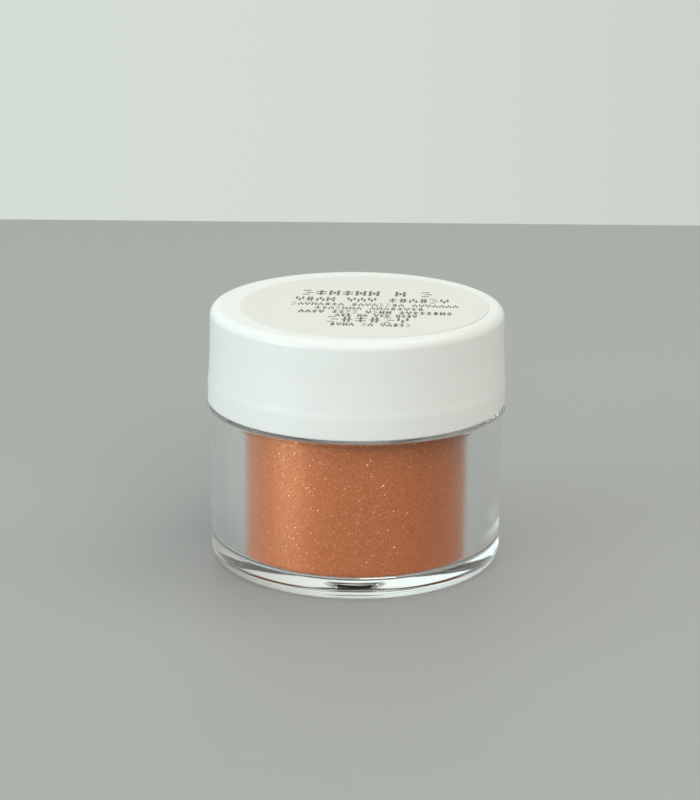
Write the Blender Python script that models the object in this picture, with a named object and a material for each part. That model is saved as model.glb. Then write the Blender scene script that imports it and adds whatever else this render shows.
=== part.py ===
"""Small thick-walled clear jar of nail powder, closed by a white screw lid.

Metres, +Z up. The origin is the centre of the jar's base, on the surface that it stands on.
Every piece is turned about +Z, except the two threads, which are ridges that climb it, and the
label with its seat, which lie a little off the middle of the lid.
"""

import math

import bmesh
import bpy
from mathutils import Matrix

MM = 0.001

FACETS = 64  # flat facets round every turned piece
GAP = 0.3 * MM  # between pieces that touch

# Jar, from the base up
BASE_RADIUS = 18.95 * MM
WALL_TOP_RADIUS = 18.88 * MM
BASE_ROUNDING = 1.75 * MM
FOOT_WIDTH = 2.3 * MM
RECESS_DEPTH = 0.6 * MM
RECESS_SLOPE = 0.9 * MM
GATE_RADIUS = 2.2 * MM
GATE_DEPTH = 0.3 * MM
FLOOR_HEIGHT = 1.8 * MM
BORE_RADIUS = 14.5 * MM
BORE_CORNER = 1.0 * MM
FLANGE_RADIUS = 19.37 * MM
FLANGE_BOTTOM = 20.4 * MM
FLANGE_TOP = 20.88 * MM
FLANGE_EDGE = 0.16 * MM
FLANGE_BLEND = 0.35 * MM
NECK_RADIUS = 15.95 * MM
NECK_TOP = 30.2 * MM
RIM_CHAMFER = 0.3 * MM

# Lid, from the skirt up
LID_BOTTOM = 21.23 * MM
LID_TOP = 33.65 * MM
LID_RADIUS = 19.25 * MM
LID_BEND_RADIUS = 18.95 * MM
LID_BEND_HEIGHT = 28.3 * MM
LID_CROWN_RADIUS = 18.88 * MM
LID_ROUNDING = 1.1 * MM
LID_EDGE = 0.2 * MM
LID_BORE_RADIUS = 17.45 * MM
LID_MOUTH_CHAMFER = 0.3 * MM
LID_CEILING = 31.8 * MM

# Liner, label and powder
LINER_RADIUS = LID_BORE_RADIUS - 0.35 * MM
LABEL_RADIUS = 15.875 * MM
LABEL_THICKNESS = 0.1 * MM
LABEL_SHIFT = (0.9 * MM, -0.8 * MM)  # the label is stuck on a little off-centre
POWDER_TOP = 23.0 * MM
POWDER_CORNER = 0.7 * MM

# Threads: six turns to the inch, right-handed
PITCH = 25.4 / 6 * MM
CREST_WIDTH = 0.9 * MM
FLANK_ANGLE = math.radians(30)
NECK_CREST_RADIUS = 17.1 * MM
LID_CREST_RADIUS = NECK_RADIUS + GAP
THREAD_SINK = 0.3 * MM
THREAD_FADE = 4  # facets over which a thread's end runs out
NECK_THREAD_BOTTOM = 23.9 * MM
NECK_THREAD_FACETS = 73
LID_THREAD_FIRST_FACET = 7
LID_THREAD_FACETS = 73


def clear_scene():
    """Removes whatever the file holds."""
    for item in list(bpy.data.objects):
        bpy.data.objects.remove(item, do_unlink=True)


def plastic(name, colour, roughness, transmission=0.0, ior=1.5):
    """A Principled material."""
    material = bpy.data.materials.new(name)
    material.use_nodes = True
    shader = material.node_tree.nodes["Principled BSDF"]
    shader.inputs["Base Color"].default_value = (*colour, 1.0)
    shader.inputs["Roughness"].default_value = roughness
    shader.inputs["Metallic"].default_value = 0.0
    shader.inputs["Transmission Weight"].default_value = transmission
    shader.inputs["IOR"].default_value = ior
    return material


def arc(centre_r, centre_z, radius, start, end, steps):
    """Points (r, z) on an arc, with its angles in degrees from the outward direction."""
    angles = [math.radians(start + (end - start) * i / steps) for i in range(steps + 1)]
    return [(centre_r + radius * math.cos(a), centre_z + radius * math.sin(a)) for a in angles]


def add_object(name, mesh, material, base, parent=None):
    """An object with its origin on the jar's axis, at the height base."""
    item = bpy.data.objects.new(name, mesh)
    bpy.context.scene.collection.objects.link(item)
    item.location.z = base - (parent.location.z if parent else 0.0)
    item.parent = parent
    mesh.materials.append(material)
    return item


def finish_mesh(bm, name):
    """Turns the working mesh into mesh data, with faces out and round faces smooth."""
    bmesh.ops.recalc_face_normals(bm, faces=bm.faces)
    mesh = bpy.data.meshes.new(name)
    bm.to_mesh(mesh)
    bm.free()
    mesh.shade_smooth()
    mesh.set_sharp_from_angle(angle=math.radians(30))
    return mesh


def turned(name, profile, material, base, parent=None):
    """Spins a profile of (r, z) points, which starts and ends on the axis, about the axis."""
    bm = bmesh.new()
    points = [bm.verts.new((r, 0.0, z - base)) for r, z in profile]
    edges = [bm.edges.new(pair) for pair in zip(points, points[1:])]
    bmesh.ops.spin(
        bm,
        geom=points + edges,
        cent=(0, 0, 0),
        axis=(0, 0, 1),
        angle=math.tau,
        steps=FACETS,
        use_merge=True,
    )
    bmesh.ops.remove_doubles(bm, verts=bm.verts, dist=0.001 * MM)
    return add_object(name, finish_mesh(bm, name), material, base, parent)


def thread_section(root, crest, height, share):
    """A thread's cross-section as (r, z) points, with its crest at a share of its full height."""
    sunk = root - math.copysign(THREAD_SINK, crest - root)
    tip = sunk + (crest - sunk) * share
    slope = math.tan(FLANK_ANGLE)
    root_half = CREST_WIDTH / 2 + abs(crest - sunk) * slope
    tip_half = CREST_WIDTH / 2 + abs(crest - tip) * slope
    return [
        (sunk, height - root_half),
        (tip, height - tip_half),
        (tip, height + tip_half),
        (sunk, height + root_half),
    ]


def thread(name, root, crest, bottom, first, count, base):
    """A ridge that climbs one pitch a turn, from the facet first and over count facets."""
    bm = bmesh.new()
    rings = []
    for i in range(count + 1):
        angle = math.tau * (first + i) / FACETS
        height = bottom + PITCH * (first + i) / FACETS
        share = min(1.0, (i + 0.5) / THREAD_FADE, (count - i + 0.5) / THREAD_FADE)
        section = thread_section(root, crest, height, share)
        rings.append(
            [bm.verts.new((r * math.cos(angle), r * math.sin(angle), z - base)) for r, z in section]
        )
    for low, high in zip(rings, rings[1:]):
        for a, b in ((0, 1), (1, 2), (2, 3), (3, 0)):
            bm.faces.new((low[a], low[b], high[b], high[a]))
    bm.faces.new(rings[0])
    bm.faces.new(rings[-1])
    bmesh.ops.triangulate(bm, faces=bm.faces)
    return finish_mesh(bm, name)


def combine(piece, mesh, material, operation):
    """Adds a mesh to a piece, or cuts it away, so that the piece stays one body."""
    tool = add_object(mesh.name, mesh, material, 0.0)
    tool.parent = piece
    tool.hide_render = True
    tool.display_type = "WIRE"
    boolean = piece.modifiers.new(mesh.name, "BOOLEAN")
    boolean.operation = operation
    boolean.solver = "EXACT"
    boolean.object = tool


def jar_profile():
    """The jar's section, from the middle of its underside, round the outside and down the bore."""
    foot_out = BASE_RADIUS - BASE_ROUNDING
    foot_in = foot_out - FOOT_WIDTH
    underside = [
        (0.0, RECESS_DEPTH + GATE_DEPTH),
        (GATE_RADIUS, RECESS_DEPTH + GATE_DEPTH),
        (GATE_RADIUS + GATE_DEPTH, RECESS_DEPTH),
        (foot_in - RECESS_SLOPE, RECESS_DEPTH),
        (foot_in, 0.0),
    ]
    base_edge = arc(foot_out, BASE_ROUNDING, BASE_ROUNDING, -90, 0, 6)
    blend = arc(
        WALL_TOP_RADIUS + FLANGE_BLEND, FLANGE_BOTTOM - FLANGE_BLEND, FLANGE_BLEND, 180, 90, 3
    )
    edge_centre = FLANGE_RADIUS - FLANGE_EDGE
    flange = arc(edge_centre, FLANGE_BOTTOM + FLANGE_EDGE, FLANGE_EDGE, -90, 0, 2)
    flange += arc(edge_centre, FLANGE_TOP - FLANGE_EDGE, FLANGE_EDGE, 0, 90, 2)
    neck = [
        (NECK_RADIUS + RIM_CHAMFER, FLANGE_TOP),
        (NECK_RADIUS, FLANGE_TOP + RIM_CHAMFER),
        (NECK_RADIUS, NECK_TOP - RIM_CHAMFER),
        (NECK_RADIUS - RIM_CHAMFER, NECK_TOP),
        (BORE_RADIUS + RIM_CHAMFER, NECK_TOP),
        (BORE_RADIUS, NECK_TOP - RIM_CHAMFER),
    ]
    corner = arc(BORE_RADIUS - BORE_CORNER, FLOOR_HEIGHT + BORE_CORNER, BORE_CORNER, 0, -90, 4)
    return underside + base_edge + blend + flange + neck + corner + [(0.0, FLOOR_HEIGHT)]


def lid_profile():
    """The lid's section, from the middle of its ceiling, down the bore and up the outside."""
    mouth = LID_BORE_RADIUS + LID_MOUTH_CHAMFER
    inside = [
        (0.0, LID_CEILING),
        (LID_BORE_RADIUS - LID_MOUTH_CHAMFER, LID_CEILING),
        (LID_BORE_RADIUS, LID_CEILING - LID_MOUTH_CHAMFER),
        (LID_BORE_RADIUS, LID_BOTTOM + LID_MOUTH_CHAMFER),
        (mouth, LID_BOTTOM),
    ]
    edge = arc(LID_RADIUS - LID_EDGE, LID_BOTTOM + LID_EDGE, LID_EDGE, -90, 0, 2)
    side = [(LID_BEND_RADIUS, LID_BEND_HEIGHT)]
    shoulder = arc(
        LID_CROWN_RADIUS - LID_ROUNDING, LID_TOP - LID_ROUNDING, LID_ROUNDING, 0, 90, 6
    )
    return inside + edge + side + shoulder + [(0.0, LID_TOP)]


def disc_profile(radius, bottom, top, corner=0.0):
    """A disc's section, with an optional chamfer round its bottom edge."""
    low = [(radius - corner, bottom), (radius, bottom + corner)] if corner else [(radius, bottom)]
    return [(0.0, bottom)] + low + [(radius, top), (0.0, top)]


def label_seat():
    """The shallow round recess under the label, as the solid to cut away."""
    bm = bmesh.new()
    middle = (*LABEL_SHIFT, LID_TOP - LID_BOTTOM)
    bmesh.ops.create_cone(
        bm,
        cap_ends=True,
        segments=FACETS,
        radius1=LABEL_RADIUS + GAP,
        radius2=LABEL_RADIUS + GAP,
        depth=2 * GAP,
        matrix=Matrix.Translation(middle),
    )
    return finish_mesh(bm, "label_seat")


def make_jar():
    """The clear jar, with its thread."""
    clear = plastic("clear_polystyrene", (0.93, 0.95, 0.95), 0.03, transmission=1.0, ior=1.59)
    jar = turned("jar_body", jar_profile(), clear, 0.0)
    ridge = thread(
        "neck_thread",
        NECK_RADIUS,
        NECK_CREST_RADIUS,
        NECK_THREAD_BOTTOM,
        0,
        NECK_THREAD_FACETS,
        0.0,
    )
    combine(jar, ridge, clear, "UNION")


def make_powder():
    """The powder in the bore."""
    bronze = plastic("bronze_powder", (0.46, 0.15, 0.045), 0.75)
    profile = disc_profile(BORE_RADIUS - GAP, FLOOR_HEIGHT + GAP, POWDER_TOP, POWDER_CORNER)
    turned("powder_fill", profile, bronze, FLOOR_HEIGHT + GAP)


def make_lid(axis):
    """The lid, its thread, its liner and its label."""
    white = plastic("white_polypropylene", (0.86, 0.88, 0.86), 0.28)
    lid = turned("screw_lid", lid_profile(), white, LID_BOTTOM, axis)
    root_gap = (LID_BORE_RADIUS - LID_CREST_RADIUS) - (LID_BORE_RADIUS - NECK_CREST_RADIUS)
    drop = CREST_WIDTH + root_gap * math.tan(FLANK_ANGLE) + GAP
    ridge = thread(
        "lid_thread",
        LID_BORE_RADIUS,
        LID_CREST_RADIUS,
        NECK_THREAD_BOTTOM - drop,
        LID_THREAD_FIRST_FACET,
        LID_THREAD_FACETS,
        LID_BOTTOM,
    )
    combine(lid, ridge, white, "UNION")
    combine(lid, label_seat(), white, "DIFFERENCE")

    foam = plastic("white_foam", (0.8, 0.8, 0.78), 0.85)
    liner = disc_profile(LINER_RADIUS, NECK_TOP + GAP, LID_CEILING - GAP)
    turned("lid_liner", liner, foam, NECK_TOP + GAP, axis)

    paper = plastic("label_paper", (0.8, 0.79, 0.73), 0.5)
    label = disc_profile(LABEL_RADIUS, LID_TOP, LID_TOP + LABEL_THICKNESS)
    sheet = turned("lid_label", label, paper, LID_TOP, axis)
    sheet.data.transform(Matrix.Translation((*LABEL_SHIFT, 0.0)))


def main():
    clear_scene()
    lid_axis = bpy.data.objects.new("lid_axis", None)
    bpy.context.scene.collection.objects.link(lid_axis)
    lid_axis.location.z = LID_BOTTOM
    lid_axis.empty_display_size = LID_RADIUS
    make_jar()
    make_powder()
    make_lid(lid_axis)


main()
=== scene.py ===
"""The looks of a small clear jar of bronze nail powder with a white screw lid.

Metres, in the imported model's frame: +Z is up and the origin is under the middle of the jar.
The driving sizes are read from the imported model's boxes, and the others are named below.
"""

import math
import random

import bmesh
import bpy
import numpy as np
from mathutils import Matrix, Vector, noise


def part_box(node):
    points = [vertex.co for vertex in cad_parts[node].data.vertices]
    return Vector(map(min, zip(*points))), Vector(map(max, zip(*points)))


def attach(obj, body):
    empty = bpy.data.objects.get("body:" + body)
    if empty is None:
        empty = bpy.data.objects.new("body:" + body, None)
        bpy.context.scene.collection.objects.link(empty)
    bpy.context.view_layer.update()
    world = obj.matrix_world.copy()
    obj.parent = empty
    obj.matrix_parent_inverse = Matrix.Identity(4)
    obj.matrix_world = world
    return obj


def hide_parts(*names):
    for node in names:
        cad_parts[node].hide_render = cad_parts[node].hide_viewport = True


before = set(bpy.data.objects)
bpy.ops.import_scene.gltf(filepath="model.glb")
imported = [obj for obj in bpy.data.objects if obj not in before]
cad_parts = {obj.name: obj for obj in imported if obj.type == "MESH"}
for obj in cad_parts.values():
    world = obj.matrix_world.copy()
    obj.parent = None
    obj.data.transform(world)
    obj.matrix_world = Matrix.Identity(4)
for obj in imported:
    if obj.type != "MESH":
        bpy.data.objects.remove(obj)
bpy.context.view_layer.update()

MM = 0.001
GAP = 0.3 * MM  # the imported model's gap between pieces that touch

jar_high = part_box("jar_body")[1]
lid_low, lid_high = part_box("screw_lid")
label_low, label_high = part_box("lid_label")
liner_low, liner_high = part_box("lid_liner")
powder_low, powder_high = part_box("powder_fill")

# Jar
FLANGE_RADIUS = jar_high.x
LID_GAP = 0.35 * MM  # between the flange and the lid's lower edge
FLANGE_TOP = lid_low.z - LID_GAP
FLANGE_THICKNESS = 0.48 * MM
WALL_TOP_RADIUS = FLANGE_RADIUS - 0.49 * MM
BASE_RADIUS = FLANGE_RADIUS - 0.42 * MM
BASE_ROUNDING = 1.75 * MM
FOOT_WIDTH = 2.3 * MM
RECESS_DEPTH = 0.6 * MM
RECESS_SLOPE = 0.9 * MM
GATE_RADIUS = 2.2 * MM
GATE_DEPTH = 0.3 * MM
FLOOR_HEIGHT = powder_low.z - GAP
BORE_RADIUS = powder_high.x + GAP
BORE_CORNER = 1.0 * MM
NECK_RADIUS = 15.95 * MM
NECK_TOP = jar_high.z

# Lid
LID_RADIUS = lid_high.x
LID_BOTTOM = lid_low.z
LID_TOP = lid_high.z
LID_BEND_RADIUS = LID_RADIUS - 0.3 * MM
LID_BEND_HEIGHT = LID_BOTTOM + 7.1 * MM
LID_CROWN_RADIUS = LID_RADIUS - 0.37 * MM
LID_ROUNDING = 1.25 * MM
LID_BAND_HEIGHT = LID_BOTTOM + 2.7 * MM  # a soft band, where the skirt steps in
LID_BAND_STEP = 0.11 * MM
LID_BAND_RISE = 0.9 * MM
LID_BORE_RADIUS = liner_high.x + 0.35 * MM
LID_CEILING = liner_high.z + GAP

# Threads
PITCH = 25.4 / 6 * MM
CREST_WIDTH = 0.9 * MM
FLANK_WIDTH = 0.67 * MM
NECK_CREST_RADIUS = 17.1 * MM
LID_CREST_RADIUS = NECK_RADIUS + GAP
NECK_THREAD_BOTTOM = NECK_TOP - 6.3 * MM
NECK_THREAD_TURNS = (0.0, 1.14)
THREAD_DROP = 1.69 * MM  # how far the lid's thread runs under the neck's
LID_THREAD_BOTTOM = NECK_THREAD_BOTTOM - THREAD_DROP
LID_THREAD_TURNS = (0.11, 1.25)
THREAD_FADE = 0.06  # turns
THREAD_ROW = 0.14 * MM

# Label and powder
LABEL_RADIUS = (label_high.x - label_low.x) / 2
LABEL_MIDDLE = (label_low + label_high) / 2
LABEL_TOP = label_high.z
PAPER_TOP = LABEL_TOP - 0.01 * MM
POWDER_AIR = 0.03 * MM  # film of air between the powder and the bore
POWDER_TOP = powder_high.z
TOP_RINGS = 40
DUNE_HEIGHT = 0.5 * MM
DUNE_SCALE = 180  # each dune is about 1 / 180 m wide
RIPPLE_SCALE = 520
RIPPLE_SHARE = 0.4

# Surfaces
BORE_ROUGHNESS = 0.12
GRAIN_SCALE = 33000  # grains in a metre
GRAIN_LEAN = 0.62  # a grain leans up or down by up to half of this
SPARK_SCALE = 9000
SPARK_LEAN = 1.4

# Marks that stand for the label's print, and spell nothing. Each row has its middle (x, y), width,
# height and stroke in mm, from the lid's axis, and how many marks each of its words has.
PRINT_ROWS = (
    (1.0, 5.4, 17.2, 2.5, 0.38, (6, 1, 1)),
    (1.75, 2.0, 20.0, 2.1, 0.28, (4, 3, 6)),
    (2.2, -0.6, 21.5, 1.5, 0.19, (8, 8, 7)),
    (1.6, -2.5, 14.0, 1.4, 0.19, (7, 8)),
    (2.45, -4.4, 19.6, 1.6, 0.23, (4, 4, 4, 8)),
    (2.65, -6.1, 10.4, 1.4, 0.19, (3, 2, 3, 4)),
    (1.7, -8.2, 10.5, 2.6, 0.3, (6,)),
    (2.15, -10.6, 10.2, 1.5, 0.2, (4, 2, 5)),
)
PRINT_TURN = math.radians(-3)
MARK_FILL = 0.8  # a mark's share of its place in the row
# Each mark as boxes (x, y, width, height) in shares of the mark, from its middle; 0 is one stroke
MARKS = (
    ((-0.5, 0.22, 0, 0.56), (0, -0.22, 0, 0.56), (0.5, 0.22, 0, 0.56)),
    ((-0.5, -0.22, 0, 0.56), (0, 0.22, 0, 0.56), (0.5, -0.22, 0, 0.56)),
    ((0, -0.25, 1, 0), (0, 0.25, 1, 0), (0, 0, 0, 1)),
    ((-0.25, 0, 0, 1), (0.25, 0, 0, 1), (0, 0, 1, 0)),
    ((-0.2, 0.5, 0.6, 0), (0.2, 0, 0.6, 0), (-0.2, -0.5, 0.6, 0)),
    ((-0.5, 0, 0, 1), (0.5, 0, 0, 1), (0, 0, 0, 0.35)),
)
LAYER = 0.002 * MM  # each box of a mark lies this much lower than the one before
INK_DEPTH = 0.004 * MM  # how far the marks reach into the paper

# Camera: its place and aim, in lid radii and degrees, and its lens and sensor in mm
CAMERA_DISTANCE = 15.64
CAMERA_ELEVATION = 17.54
AIM_HEIGHT = 0.8
TURN_LEFT = 0.16
TURN_UP = 0.99
ROLL = 0.53
LENS = 103.8
SENSOR = 36.0

# Stage: each light's place, size (m), power (W) and colour, the room's colours, and the floor
LIGHTS = {
    "key": ((-0.61, -0.37, 0.15), 0.3, 1.42, (0.84, 0.96, 1.0)),
    "front": ((0.27, -0.6, 0.5), 0.45, 1.5, (1.0, 0.97, 0.92)),
    "top": ((0.3, 0.0, 0.65), 0.5, 1.2, (1.0, 0.97, 0.9)),
}
LIGHT_AIM = Vector((0, 0, 0.017))
ROOM_MIDDLE = (0.66, 0.71, 0.66)
ROOM_LEFT = (0.7, 0.8, 0.82)
ROOM_RIGHT = (0.28, 0.27, 0.24)
ROOM_UPPER = 1.38  # brightness above the horizon
ROOM_CEILING = 0.72  # and overhead, as a share of that
FLOOR_COLOURS = ((0.385, 0.385, 0.38), (0.4, 0.4, 0.395))
FLOOR_HALF = Vector((1.5, 0.8, 0))
FLOOR_SHIFT = Vector((0, -0.594, 0))

# Meshes and rendering
COLUMNS = 240
ARC_STEP = math.radians(9)
AREA_WEIGHT = 60  # how far large faces outweigh small ones in the normals, up to 100
SAME = 0.01 * MM  # radii that differ by less count as the same
BOUNCES = 32  # enough for light that is caught in the clear base


# ---------------------------------------------------------------- outlines and turned meshes


def filleted(outline):
    """Points (r, z) of an outline of corners (r, z, fillet radius), with each fillet as an arc."""
    points = []
    for i, (r, z, radius) in enumerate(outline):
        here = Vector((r, z))
        if radius == 0 or i in (0, len(outline) - 1):
            points.append(here)
            continue
        back = (Vector(outline[i - 1][:2]) - here).normalized()
        ahead = (Vector(outline[i + 1][:2]) - here).normalized()
        half = back.angle(ahead) / 2
        centre = here + (back + ahead).normalized() * radius / math.sin(half)
        start = here + back * radius / math.tan(half) - centre
        turn = start.angle_signed(here + ahead * radius / math.tan(half) - centre)
        steps = max(2, math.ceil(abs(turn) / ARC_STEP))
        for k in range(steps + 1):
            points.append(centre + Matrix.Rotation(-turn * k / steps, 2) @ start)
    return [(p.x, p.y) for p in points]


def with_rows(profile, low, high, row):
    """The profile with more points where it runs straight up or down between two heights."""
    dense = [profile[0]]
    for (r0, z0), (r1, z1) in zip(profile, profile[1:]):
        if abs(r1 - r0) < SAME and min(z0, z1) < high and max(z0, z1) > low:
            count = math.ceil(abs(z1 - z0) / row)
            dense += [(r0 + (r1 - r0) * k / count, z0 + (z1 - z0) * k / count) for k in range(1, count)]
        dense.append((r1, z1))
    return dense


def turned_mesh(name, profile, warp=None):
    """A closed mesh turned about +Z from (r, z) points that start and end on the axis.

    The solid lies to the left of the profile's direction. warp may change the radii and heights.
    """
    radius, height = (np.repeat(np.array(v)[1:-1, None], COLUMNS, axis=1) for v in zip(*profile))
    angle = np.arange(COLUMNS) * math.tau / COLUMNS
    if warp:
        radius, height = warp(radius, height, np.broadcast_to(angle, radius.shape))
    grid = np.stack([radius * np.cos(angle), radius * np.sin(angle), height], -1)
    rings = len(grid)
    points = [(0, 0, profile[0][1]), (0, 0, profile[-1][1])] + grid.reshape(-1, 3).tolist()
    faces = []
    for j in range(COLUMNS):
        k = (j + 1) % COLUMNS
        faces.append((0, 2 + k, 2 + j))
        faces.append((1, 2 + (rings - 1) * COLUMNS + j, 2 + (rings - 1) * COLUMNS + k))
        for i in range(rings - 1):
            low, high = 2 + i * COLUMNS, 2 + (i + 1) * COLUMNS
            faces.append((low + j, low + k, high + k, high + j))
    mesh = bpy.data.meshes.new(name)
    mesh.from_pydata(points, [], faces)
    mesh.shade_smooth()
    return mesh


def add_piece(name, mesh, material, body, node):
    """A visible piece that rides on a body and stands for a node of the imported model, if any."""
    piece = bpy.data.objects.new(name, mesh)
    bpy.context.scene.collection.objects.link(piece)
    mesh.materials.append(material)
    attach(piece, body)
    if node:
        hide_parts(node)
    return piece


def weigh_normals(piece):
    """Keeps the flat stretches flat where they meet small fillets."""
    modifier = piece.modifiers.new("normals", "WEIGHTED_NORMAL")
    modifier.weight = AREA_WEIGHT


# ---------------------------------------------------------------- threads


def smooth(x):
    """An S-curve from 0 to 1."""
    x = np.clip(x, 0, 1)
    return x * x * (3 - 2 * x)


def thread_ridge(angle, height, bottom, turns):
    """From 0 to 1, how far a thread stands out at each angle and height."""
    first, last = turns
    ridge = np.zeros_like(height)
    for lap in range(math.floor(first), math.ceil(last) + 1):
        turn = angle / math.tau + lap
        off_centre = np.abs(height - bottom - PITCH * turn)
        tooth = smooth((CREST_WIDTH / 2 + FLANK_WIDTH - off_centre) / FLANK_WIDTH)
        fade = smooth((turn - first) / THREAD_FADE) * smooth((last - turn) / THREAD_FADE)
        ridge = np.maximum(ridge, tooth * fade)
    return ridge


def threaded(root, crest, bottom, turns):
    """A warp that raises a thread on the stretch of a profile at the root radius."""

    def warp(radius, height, angle):
        on_root = np.abs(radius - root) < SAME
        ridge = thread_ridge(angle, height, bottom, turns)
        return np.where(on_root, root + (crest - root) * ridge, radius), height

    return warp


# ---------------------------------------------------------------- materials


def node(tree, kind, inputs=None, **settings):
    """A shader node with its settings, and its inputs linked or set."""
    item = tree.nodes.new(kind)
    for key, value in settings.items():
        setattr(item, key, value)
    for key, value in (inputs or {}).items():
        if isinstance(value, bpy.types.NodeSocket):
            tree.links.new(value, item.inputs[key])
        else:
            item.inputs[key].default_value = value
    return item


def principled(name, **values):
    """A material, its node tree and its Principled shader, with plain values on the shader."""
    material = bpy.data.materials.new(name)
    material.use_nodes = True
    tree = material.node_tree
    shader = tree.nodes["Principled BSDF"]
    for key, value in values.items():
        shader.inputs[key.replace("_", " ")].default_value = value
    return material, tree, shader


def place_of(tree, stretch=(1, 1, 1)):
    """Object coordinates, which stay with the piece, stretched along each axis."""
    place = node(tree, "ShaderNodeTexCoord").outputs["Object"]
    return node(tree, "ShaderNodeMapping", {"Vector": place, "Scale": stretch}).outputs["Vector"]


def noise_of(tree, place, scale, detail=2.0, roughness=0.5):
    """A smooth noise, from 0 to 1, whose features are about 1 / scale metres wide."""
    inputs = {"Vector": place, "Scale": scale, "Detail": detail, "Roughness": roughness}
    return node(tree, "ShaderNodeTexNoise", inputs).outputs["Fac"]


def ranged(tree, value, low, high, to_low, to_high):
    """The value from one range mapped to another."""
    inputs = {"Value": value, "From Min": low, "From Max": high, "To Min": to_low, "To Max": to_high}
    return node(tree, "ShaderNodeMapRange", inputs).outputs["Result"]


def mixed(tree, share, first, second):
    """A colour between two, by a share."""
    item = node(tree, "ShaderNodeMix", data_type="RGBA")
    tree.links.new(share, item.inputs["Factor"])
    for socket, colour in ((item.inputs["A"], first), (item.inputs["B"], second)):
        if isinstance(colour, bpy.types.NodeSocket):
            tree.links.new(colour, socket)
        else:
            socket.default_value = (*colour, 1.0)
    return item.outputs["Result"]


def bumped(tree, shader, height, distance):
    """Raises a shader's surface by a height from 0 to 1 over a distance."""
    inputs = {"Height": height, "Distance": distance, "Strength": 1.0}
    tree.links.new(node(tree, "ShaderNodeBump", inputs).outputs["Normal"], shader.inputs["Normal"])


def clear_plastic():
    """Polished clear polystyrene with faint waves, a few rubbed patches and a dusty bore."""
    material, tree, shader = principled(
        "clear_plastic", Transmission_Weight=1.0, IOR=1.59, Specular_Tint=(0.2, 0.2, 0.2, 1.0)
    )
    place = place_of(tree)
    rubbed = noise_of(tree, place_of(tree, (1, 1, 4)), 260, 4)
    rubbed = ranged(tree, rubbed, 0.5, 0.8, 0.012, 0.06)
    parts = node(tree, "ShaderNodeSeparateXYZ", {"Vector": place})
    radius = node(tree, "ShaderNodeVectorMath", {0: place_of(tree, (1, 1, 0))}, operation="LENGTH")
    in_bore = ranged(tree, radius.outputs["Value"], BORE_RADIUS + 0.4 * MM, BORE_RADIUS + MM, 1, 0)
    above = ranged(tree, parts.outputs["Z"], FLOOR_HEIGHT + 0.5 * MM, FLOOR_HEIGHT + MM, 0, BORE_ROUGHNESS)
    dusty = node(tree, "ShaderNodeMath", {0: in_bore, 1: above}, operation="MULTIPLY")
    rough = node(tree, "ShaderNodeMath", {0: rubbed, 1: dusty.outputs["Value"]}, operation="MAXIMUM")
    tree.links.new(rough.outputs["Value"], shader.inputs["Roughness"])
    tint = mixed(tree, noise_of(tree, place, 120), (0.985, 0.99, 0.99), (0.99, 0.992, 0.988))
    tree.links.new(tint, shader.inputs["Base Color"])
    bumped(tree, shader, noise_of(tree, place_of(tree, (1, 1, 0.35)), 160, 1), 0.02 * MM)
    return material


def lid_plastic():
    """Glossy white polypropylene, with a fine moulded skin and light handling marks."""
    material, tree, shader = principled(
        "lid_plastic", IOR=1.49, Subsurface_Weight=0.15, Subsurface_Scale=0.6 * MM
    )
    place = place_of(tree)
    cloudy = noise_of(tree, place, 90, 3)
    tint = mixed(tree, cloudy, (0.842, 0.845, 0.825), (0.862, 0.865, 0.845))
    tree.links.new(tint, shader.inputs["Base Color"])
    handled = noise_of(tree, place_of(tree, (1, 1, 2)), 180, 3)
    tree.links.new(ranged(tree, handled, 0.3, 0.7, 0.28, 0.33), shader.inputs["Roughness"])
    bumped(tree, shader, noise_of(tree, place, 1400, 2), 0.0015 * MM)
    return material


def foam():
    """White closed-cell foam."""
    material, tree, shader = principled("foam", Roughness=0.8)
    bubbles = node(tree, "ShaderNodeTexVoronoi", {"Vector": place_of(tree), "Scale": 2600})
    tint = mixed(tree, bubbles.outputs["Distance"], (0.72, 0.72, 0.7), (0.84, 0.84, 0.82))
    tree.links.new(tint, shader.inputs["Base Color"])
    bumped(tree, shader, bubbles.outputs["Distance"], 0.05 * MM)
    return material


def label_paper():
    """Coated off-white paper, with faint fibres."""
    material, tree, shader = principled("label_paper")
    fibres = noise_of(tree, place_of(tree, (1, 3, 1)), 1500, 4, 0.6)
    tint = mixed(tree, fibres, (0.77, 0.745, 0.7), (0.81, 0.785, 0.74))
    tree.links.new(tint, shader.inputs["Base Color"])
    tree.links.new(ranged(tree, fibres, 0.3, 0.7, 0.34, 0.46), shader.inputs["Roughness"])
    bumped(tree, shader, fibres, 0.004 * MM)
    return material


def ink():
    """Dark grey print, a little uneven."""
    material, tree, shader = principled("ink", Roughness=0.5)
    worn = noise_of(tree, place_of(tree), 2500, 3)
    tint = mixed(tree, worn, (0.075, 0.08, 0.07), (0.2, 0.21, 0.19))
    tree.links.new(tint, shader.inputs["Base Color"])
    return material


def cells(tree, place, scale):
    """Small cells, each with a random colour, about 1 / scale metres wide."""
    inputs = {"Vector": place, "Scale": scale}
    return node(tree, "ShaderNodeTexVoronoi", inputs).outputs["Color"]


def leaning(tree, colour, lean):
    """The surface's direction, leaning by a random colour, mostly up or down."""
    inputs = {0: colour, 1: (-0.5, -0.5, -0.5)}
    offset = node(tree, "ShaderNodeVectorMath", inputs, operation="ADD").outputs["Vector"]
    inputs = {0: offset, 1: (0.3, 0.3, 1.0)}
    offset = node(tree, "ShaderNodeVectorMath", inputs, operation="MULTIPLY").outputs["Vector"]
    size = node(tree, "ShaderNodeVectorMath", {0: offset, 3: lean}, operation="SCALE")
    straight = node(tree, "ShaderNodeNewGeometry").outputs["Normal"]
    inputs = {0: size.outputs["Vector"], 1: straight}
    leant = node(tree, "ShaderNodeVectorMath", inputs, operation="ADD").outputs["Vector"]
    return node(tree, "ShaderNodeVectorMath", {0: leant}, operation="NORMALIZE").outputs["Vector"]


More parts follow.
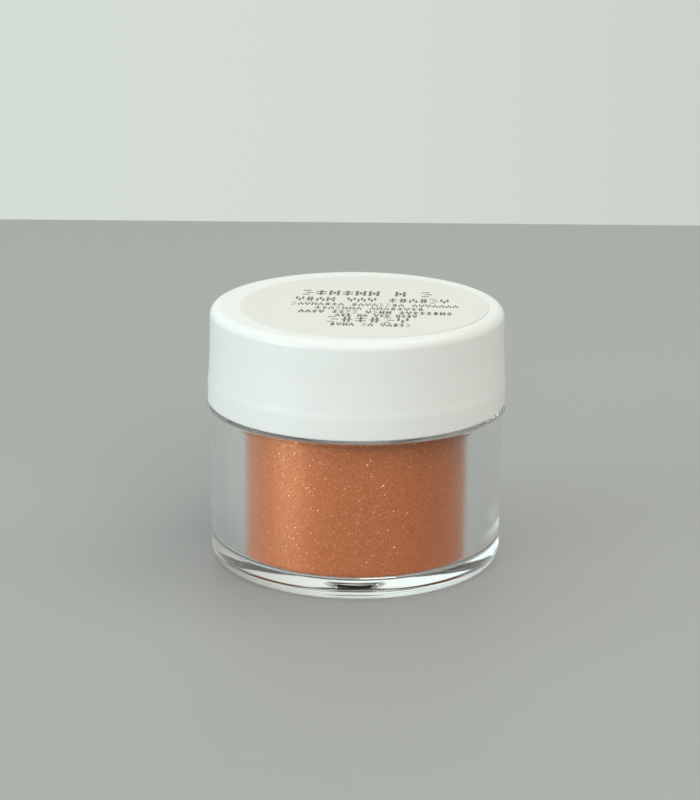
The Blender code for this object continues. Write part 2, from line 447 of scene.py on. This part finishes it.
def bronze_powder():
    """Fine bronze powder: matt grains, a pearl sheen, and a few flakes that catch the light."""
    material, tree, shader = principled("bronze_powder", Specular_IOR_Level=0.2)
    place = place_of(tree)
    clumps = noise_of(tree, place, 900, 5, 0.65)
    grain_colour = cells(tree, place, GRAIN_SCALE)
    grain = node(tree, "ShaderNodeSeparateColor", {"Color": grain_colour})
    spark = node(tree, "ShaderNodeSeparateColor", {"Color": cells(tree, place, SPARK_SCALE)})
    dull = mixed(tree, clumps, (0.42, 0.05, 0.002), (0.48, 0.064, 0.003))
    pearl = mixed(tree, grain.outputs["Green"], (0.94, 0.58, 0.28), (1.0, 0.68, 0.37))
    is_pearl = ranged(tree, grain.outputs["Red"], 0.3, 1.0, 0, 0.66)
    is_spark = ranged(tree, spark.outputs["Red"], 0.992, 0.995, 0, 1)
    either = node(tree, "ShaderNodeMath", {0: is_pearl, 1: is_spark}, operation="MAXIMUM")
    share = either.outputs["Value"]
    tree.links.new(mixed(tree, share, dull, pearl), shader.inputs["Base Color"])
    tree.links.new(ranged(tree, share, 0, 1, 0.15, 0.95), shader.inputs["Metallic"])
    tree.links.new(ranged(tree, is_spark, 0, 1, 0.38, 0.17), shader.inputs["Roughness"])
    lean = ranged(tree, is_spark, 0, 1, GRAIN_LEAN, SPARK_LEAN)
    tree.links.new(leaning(tree, grain_colour, lean), shader.inputs["Normal"])
    return material


def floor_paint():
    """A plain pale floor."""
    material, tree, shader = principled("floor_paint", Roughness=0.6)
    shade = noise_of(tree, place_of(tree), 12, 3)
    tint = mixed(tree, shade, FLOOR_COLOURS[0], FLOOR_COLOURS[1])
    tree.links.new(tint, shader.inputs["Base Color"])
    return material


# ---------------------------------------------------------------- pieces


def make_jar():
    """The clear jar: thick wall and base, shoulder flange, threaded neck and bore."""
    foot_out = BASE_RADIUS
    foot_in = BASE_RADIUS - BASE_ROUNDING - FOOT_WIDTH
    flange_bottom = FLANGE_TOP - FLANGE_THICKNESS
    outline = [
        (0, RECESS_DEPTH + GATE_DEPTH, 0),
        (GATE_RADIUS, RECESS_DEPTH + GATE_DEPTH, 0.1 * MM),
        (GATE_RADIUS + GATE_DEPTH, RECESS_DEPTH, 0.1 * MM),
        (foot_in - RECESS_SLOPE, RECESS_DEPTH, 0.3 * MM),
        (foot_in, 0, 0.3 * MM),
        (foot_out, 0, BASE_ROUNDING),
        (WALL_TOP_RADIUS, flange_bottom, 0.3 * MM),
        (FLANGE_RADIUS, flange_bottom, 0.16 * MM),
        (FLANGE_RADIUS, FLANGE_TOP, 0.16 * MM),
        (NECK_RADIUS, FLANGE_TOP, 0.3 * MM),
        (NECK_RADIUS, NECK_TOP, 0.3 * MM),
        (BORE_RADIUS, NECK_TOP, 0.3 * MM),
        (BORE_RADIUS, FLOOR_HEIGHT, BORE_CORNER),
        (0, FLOOR_HEIGHT, 0),
    ]
    profile = with_rows(filleted(outline), FLANGE_TOP + MM, NECK_TOP, THREAD_ROW)
    warp = threaded(NECK_RADIUS, NECK_CREST_RADIUS, NECK_THREAD_BOTTOM, NECK_THREAD_TURNS)
    mesh = turned_mesh("jar_clear", profile, warp)
    piece = add_piece("jar_clear", mesh, clear_plastic(), "jar", "jar_body")
    piece.visible_shadow = False
    weigh_normals(piece)


def make_powder():
    """The powder, which fills the bore and lies a little uneven on top."""
    radius = BORE_RADIUS - POWDER_AIR
    bottom = FLOOR_HEIGHT + POWDER_AIR
    outline = [
        (0, bottom, 0),
        (radius, bottom, BORE_CORNER),
        (radius, POWDER_TOP, 0.2 * MM),
        (0, POWDER_TOP, 0),
    ]
    profile = filleted(outline)
    inner = [(radius * (1 - k / TOP_RINGS), POWDER_TOP) for k in range(1, TOP_RINGS)]
    profile = profile[:-1] + inner + profile[-1:]

    def heap(radii, heights, angles):
        """Makes the top uneven, less and less towards the wall."""
        raised = heights.copy()
        on_top = heights > POWDER_TOP - 0.001 * MM
        for i, j in np.argwhere(on_top):
            r, a = radii[i, j], angles[i, j]
            spot = Vector((r * math.cos(a), r * math.sin(a), 0))
            dune = noise.noise(spot * DUNE_SCALE) + RIPPLE_SHARE * noise.noise(spot * RIPPLE_SCALE)
            from_wall = 1 - r / radius
            raised[i, j] += DUNE_HEIGHT * dune * min(1, from_wall * 6)
        return radii, raised

    mesh = turned_mesh("powder_bulk", profile, heap)
    add_piece("powder_bulk", mesh, bronze_powder(), "jar", "powder_fill")


def make_lid():
    """The white lid, with its thread inside and a soft band where its skirt steps in."""
    share = (LID_BAND_HEIGHT - LID_BOTTOM) / (LID_BEND_HEIGHT - LID_BOTTOM)
    band_radius = LID_RADIUS + (LID_BEND_RADIUS - LID_RADIUS) * share
    outline = [
        (0, LID_CEILING, 0),
        (LID_BORE_RADIUS, LID_CEILING, 0.5 * MM),
        (LID_BORE_RADIUS, LID_BOTTOM, 0.4 * MM),
        (LID_RADIUS, LID_BOTTOM, 0.2 * MM),
        (band_radius + LID_BAND_STEP, LID_BAND_HEIGHT, 4 * MM),
        (band_radius, LID_BAND_HEIGHT + LID_BAND_RISE, 4 * MM),
        (LID_BEND_RADIUS, LID_BEND_HEIGHT, 8 * MM),
        (LID_CROWN_RADIUS, LID_TOP, LID_ROUNDING),
        (0, LID_TOP, 0),
    ]
    profile = with_rows(filleted(outline), LID_BOTTOM + MM, LID_CEILING - MM, THREAD_ROW)
    warp = threaded(LID_BORE_RADIUS, LID_CREST_RADIUS, LID_THREAD_BOTTOM, LID_THREAD_TURNS)
    mesh = turned_mesh("lid_shell", profile, warp)
    piece = add_piece("lid_shell", mesh, lid_plastic(), "lid", "screw_lid")
    weigh_normals(piece)


def make_liner():
    """The foam disc in the lid, with the faint ring that the jar's rim presses into it."""
    low, high, radius = liner_low.z, liner_high.z, liner_high.x
    press = 0.08 * MM
    rim_in, rim_out = BORE_RADIUS, NECK_RADIUS
    outline = [
        (0, low, 0),
        (rim_in - 0.3 * MM, low, 0.2 * MM),
        (rim_in, low + press, 0.2 * MM),
        (rim_out, low + press, 0.2 * MM),
        (rim_out + 0.3 * MM, low, 0.2 * MM),
        (radius, low, 0.15 * MM),
        (radius, high, 0.15 * MM),
        (0, high, 0),
    ]
    mesh = turned_mesh("liner_disc", filleted(outline))
    piece = add_piece("liner_disc", mesh, foam(), "liner", "lid_liner")
    weigh_normals(piece)


def make_label():
    """The round paper label."""
    outline = [
        (0, LID_TOP, 0),
        (LABEL_RADIUS, LID_TOP, 0),
        (LABEL_RADIUS, PAPER_TOP, 0.06 * MM),
        (0, PAPER_TOP, 0),
    ]
    mesh = turned_mesh("label_sheet", filleted(outline))
    mesh.transform(Matrix.Translation((LABEL_MIDDLE.x, LABEL_MIDDLE.y, 0)))
    piece = add_piece("label_sheet", mesh, label_paper(), "lid", "lid_label")
    weigh_normals(piece)


def add_box(bm, x, y, width, height, top):
    """A thin raised box of ink, centred on (x, y)."""
    bottom = PAPER_TOP - INK_DEPTH
    size = Matrix.Diagonal((width, height, top - bottom, 1))
    place = Matrix.Translation((x, y, (top + bottom) / 2))
    bmesh.ops.create_cube(bm, size=1, matrix=place @ size)


def add_mark(bm, x, y, width, height, stroke, mark):
    """One made-up mark, whose strokes stay inside its width and height."""
    for i, (across, up, share_wide, share_high) in enumerate(mark):
        add_box(
            bm,
            x + across * (width - stroke),
            y + up * (height - stroke),
            stroke + share_wide * (width - stroke),
            stroke + share_high * (height - stroke),
            LABEL_TOP - i * LAYER,
        )


def make_print():
    """Rows of made-up marks on the label, where it has its printed text."""
    bm = bmesh.new()
    chance = random.Random(5)
    for x, y, width, height, stroke, words in PRINT_ROWS:
        pitch = width / (sum(words) + len(words) - 1)
        along = x - width / 2 + pitch / 2
        for word in words:
            for _ in range(word):
                mark = chance.choice(MARKS)
                size = (pitch * MARK_FILL * MM, height * MM, stroke * MM)
                add_mark(bm, along * MM, y * MM, *size, mark)
                along += pitch
            along += pitch
    mesh = bpy.data.meshes.new("label_print")
    bm.to_mesh(mesh)
    bm.free()
    middle = Matrix.Translation((LABEL_MIDDLE.x, LABEL_MIDDLE.y, 0))
    mesh.transform(middle @ Matrix.Rotation(PRINT_TURN, 4, "Z") @ middle.inverted())
    add_piece("label_print", mesh, ink(), "lid", None)


# ---------------------------------------------------------------- stage


def area_light(name, place, size, power, colour):
    """A soft square light aimed at the middle of the jar."""
    lamp = bpy.data.lights.new(name, "AREA")
    lamp.size = size
    lamp.energy = power
    lamp.color = colour
    item = bpy.data.objects.new(name, lamp)
    bpy.context.scene.collection.objects.link(item)
    item.location = place
    aim = LIGHT_AIM - item.location
    item.rotation_euler = aim.to_track_quat("-Z", "Y").to_euler()


def make_world():
    """A pale room: cooler and brighter on the left, warmer and darker on the right, dim overhead."""
    world = bpy.data.worlds.new("room")
    world.use_nodes = True
    tree = world.node_tree
    direction = node(tree, "ShaderNodeTexCoord").outputs["Generated"]
    parts = node(tree, "ShaderNodeSeparateXYZ", {"Vector": direction})
    left = ranged(tree, parts.outputs["X"], 0.0, -1.0, 0, 1)
    right = ranged(tree, parts.outputs["X"], 0.0, 1.0, 0, 1)
    colour = mixed(tree, right, mixed(tree, left, ROOM_MIDDLE, ROOM_LEFT), ROOM_RIGHT)
    background = tree.nodes["Background"]
    tree.links.new(colour, background.inputs["Color"])
    walls = ranged(tree, parts.outputs["Z"], 0.0, 0.2, 1.0, ROOM_UPPER)
    ceiling = ranged(tree, parts.outputs["Z"], 0.35, 0.7, 1.0, ROOM_CEILING)
    strength = node(tree, "ShaderNodeMath", {0: walls, 1: ceiling}, operation="MULTIPLY")
    tree.links.new(strength.outputs["Value"], background.inputs["Strength"])
    bpy.context.scene.world = world


def make_stage():
    """The floor, the room and the lights."""
    corners = ((-1, -1), (1, -1), (1, 1), (-1, 1))
    points = [FLOOR_SHIFT + Vector((x, y, 0)) * FLOOR_HALF for x, y in corners]
    mesh = bpy.data.meshes.new("floor")
    mesh.from_pydata(points, [], [(0, 1, 2, 3)])
    floor = bpy.data.objects.new("floor", mesh)
    bpy.context.scene.collection.objects.link(floor)
    mesh.materials.append(floor_paint())

    make_world()
    for name, (place, size, power, colour) in LIGHTS.items():
        area_light(name, place, size, power, colour)


def make_camera():
    """A long lens in front of the jar, a little above it."""
    elevation = math.radians(CAMERA_ELEVATION)
    back = Vector((0, -math.cos(elevation), math.sin(elevation)))
    data = bpy.data.cameras.new("camera")
    data.sensor_width = SENSOR
    data.lens = LENS
    data.clip_start = 0.01
    camera = bpy.data.objects.new("camera", data)
    bpy.context.scene.collection.objects.link(camera)
    place = Vector((0, 0, AIM_HEIGHT * LID_RADIUS)) + back * CAMERA_DISTANCE * LID_RADIUS
    facing = Matrix.Rotation(math.radians(90 - CAMERA_ELEVATION), 4, "X")
    turn = Matrix.Rotation(math.radians(TURN_LEFT), 4, "Y")
    rise = Matrix.Rotation(math.radians(TURN_UP), 4, "X")
    roll = Matrix.Rotation(math.radians(ROLL), 4, "Z")
    camera.matrix_world = Matrix.Translation(place) @ facing @ turn @ rise @ roll
    bpy.context.scene.camera = camera


def main():
    """Makes the camera, the stage and every piece, and sets the view and the light's bounces."""
    make_camera()
    make_stage()
    make_jar()
    make_powder()
    make_lid()
    make_liner()
    make_label()
    make_print()
    scene = bpy.context.scene
    scene.view_settings.view_transform = "Standard"
    scene.cycles.max_bounces = BOUNCES
    scene.cycles.transmission_bounces = BOUNCES
    scene.cycles.glossy_bounces = BOUNCES


main()
